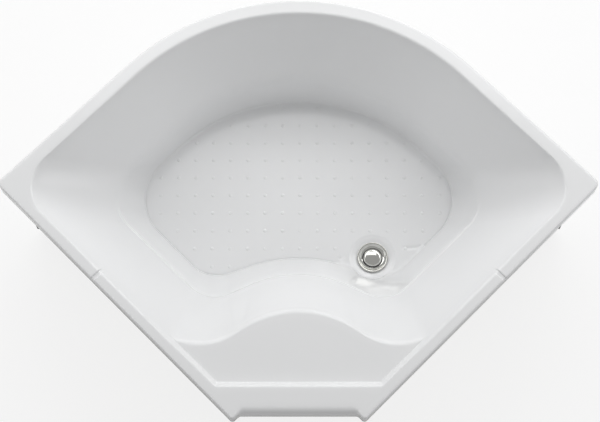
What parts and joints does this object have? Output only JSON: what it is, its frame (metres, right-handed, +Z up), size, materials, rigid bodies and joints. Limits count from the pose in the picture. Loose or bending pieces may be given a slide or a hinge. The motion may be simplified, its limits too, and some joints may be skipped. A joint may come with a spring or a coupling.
{
  "type": "corner shower tray",
  "caption": "Deep corner shower tray with a moulded seat, curved front panel, steel under-frame on levelling feet, and a click waste with its trap.",
  "frame": {"origin": "on the bathroom floor, under the middle of the tray's overall length and depth", "axes": "+Z up; -Y towards the curved front; +Y towards the room corner; X runs from wing tip to wing tip"},
  "size_m": [1.2594, 0.9184, 0.42],
  "materials": {
    "white_acrylic": "white sanitary acrylic, high gloss",
    "panel_acrylic": "white acrylic sheet, gloss",
    "glass_fibre": "sprayed glass fibre and resin, rough",
    "chipboard": "resin-coated chipboard",
    "timber": "planed softwood",
    "frame_steel": "galvanised steel tube and strip, satin",
    "zinc_steel": "bright zinc plating",
    "black_plastic": "moulded polypropylene, fine grain",
    "white_plastic": "moulded cover, gloss",
    "chrome": "polished chrome plating",
    "brass": "turned brass",
    "spring_steel": "drawn stainless wire",
    "grey_rubber": "soft rubber, matt",
    "trap_plastic": "moulded polypropylene, satin"
  },
  "bodies": {
    "tray": {"apron_blocks": "timber", "back_nut": "trap_plastic", "board_screws": "zinc_steel", "bracket_screws": "zinc_steel", "click_cartridge": "brass", "cross_rail": "frame_steel", "cup_seal": "grey_rubber", "dip_tube": "trap_plastic", "flange_seal": "grey_rubber", "floor_board": "chipboard", "front_panel": "panel_acrylic", "front_rail": "frame_steel", "glass_fibre_layer": "glass_fibre", "inlet_nut": "trap_plastic", "inlet_washer": "grey_rubber", "lock_nuts": "zinc_steel", "middle_rail": "frame_steel", "outlet_nut": "trap_plastic", "outlet_washer": "grey_rubber", "panel_bracket_front": "frame_steel", "panel_bracket_left": "frame_steel", "panel_bracket_right": "frame_steel", "panel_screw_covers": "white_plastic", "panel_screws": "zinc_steel", "plug_spring": "spring_steel", "post_bolts": "zinc_steel", "post_screws": "zinc_steel", "rear_rail": "frame_steel", "seat_board": "chipboard", "seat_post_left": "frame_steel", "seat_post_right": "frame_steel", "trap_body": "trap_plastic", "trap_cup": "trap_plastic", "tray_shell": "white_acrylic", "tube_end_caps": "black_plastic", "under_seal": "grey_rubber", "waste_flange": "chrome", "weld_nuts": "zinc_steel", "wing_block_left": "timber", "wing_block_right": "timber", "wing_post_left": "frame_steel", "wing_post_right": "frame_steel"},
    "plug": {"plug_cap": "chrome", "plug_seal": "grey_rubber", "plug_stem": "brass"},
    "outlet": {"outlet_elbow": "trap_plastic"},
    "pad_front": {"foot_pad_front": "black_plastic"},
    "spindle_front": {"foot_spindle_front": "zinc_steel"},
    "pad_left": {"foot_pad_left": "black_plastic"},
    "spindle_left": {"foot_spindle_left": "zinc_steel"},
    "pad_right": {"foot_pad_right": "black_plastic"},
    "spindle_right": {"foot_spindle_right": "zinc_steel"},
    "pad_rear_left": {"foot_pad_rear_left": "black_plastic"},
    "spindle_rear_left": {"foot_spindle_rear_left": "zinc_steel"},
    "pad_rear_right": {"foot_pad_rear_right": "black_plastic"},
    "spindle_rear_right": {"foot_spindle_rear_right": "zinc_steel"}
  },
  "joints": [
    {"name": "plug_click", "type": "slide", "parent": "tray", "child": "plug", "axis": [0, 0, 1], "range_m": [0, 0.009], "deforming": ["plug_spring"]},
    {"name": "outlet_swivel", "type": "hinge", "parent": "tray", "child": "outlet", "pos_m": [-0.166, 0.12382, 0.074], "axis": [0, 1, 0], "range_deg": [-20, 30]},
    {"name": "foot_front_height", "type": "slide", "parent": "tray", "child": "pad_front", "axis": [0, 0, 1], "range_m": [-0.015, 0.008]},
    {"name": "foot_front_turn", "type": "hinge", "parent": "pad_front", "child": "spindle_front", "pos_m": [0, -0.29031, 0], "axis": [0, 0, 1], "range_deg": [-3090, 1650]},
    {"name": "foot_left_height", "type": "slide", "parent": "tray", "child": "pad_left", "axis": [0, 0, 1], "range_m": [-0.015, 0.008]},
    {"name": "foot_left_turn", "type": "hinge", "parent": "pad_left", "child": "spindle_left", "pos_m": [-0.532, -0.04828, 0], "axis": [0, 0, 1], "range_deg": [-3090, 1650]},
    {"name": "foot_right_height", "type": "slide", "parent": "tray", "child": "pad_right", "axis": [0, 0, 1], "range_m": [-0.015, 0.008]},
    {"name": "foot_right_turn", "type": "hinge", "parent": "pad_right", "child": "spindle_right", "pos_m": [0.532, -0.04828, 0], "axis": [0, 0, 1], "range_deg": [-3090, 1650]},
    {"name": "foot_rear_left_height", "type": "slide", "parent": "tray", "child": "pad_rear_left", "axis": [0, 0, 1], "range_m": [-0.015, 0.008]},
    {"name": "foot_rear_left_turn", "type": "hinge", "parent": "pad_rear_left", "child": "spindle_rear_left", "pos_m": [-0.11, 0.31972, 0], "axis": [0, 0, 1], "range_deg": [-3090, 1650]},
    {"name": "foot_rear_right_height", "type": "slide", "parent": "tray", "child": "pad_rear_right", "axis": [0, 0, 1], "range_m": [-0.015, 0.008]},
    {"name": "foot_rear_right_turn", "type": "hinge", "parent": "pad_rear_right", "child": "spindle_rear_right", "pos_m": [0.11, 0.31972, 0], "axis": [0, 0, 1], "range_deg": [-3090, 1650]}
  ],
  "couplings": [
    {"joint": "foot_front_turn", "follows": "foot_front_height", "rad_per_m": 3590.4},
    {"joint": "foot_left_turn", "follows": "foot_left_height", "rad_per_m": 3590.4},
    {"joint": "foot_right_turn", "follows": "foot_right_height", "rad_per_m": 3590.4},
    {"joint": "foot_rear_left_turn", "follows": "foot_rear_left_height", "rad_per_m": 3590.4},
    {"joint": "foot_rear_right_turn", "follows": "foot_rear_right_height", "rad_per_m": 3590.4}
  ]
}
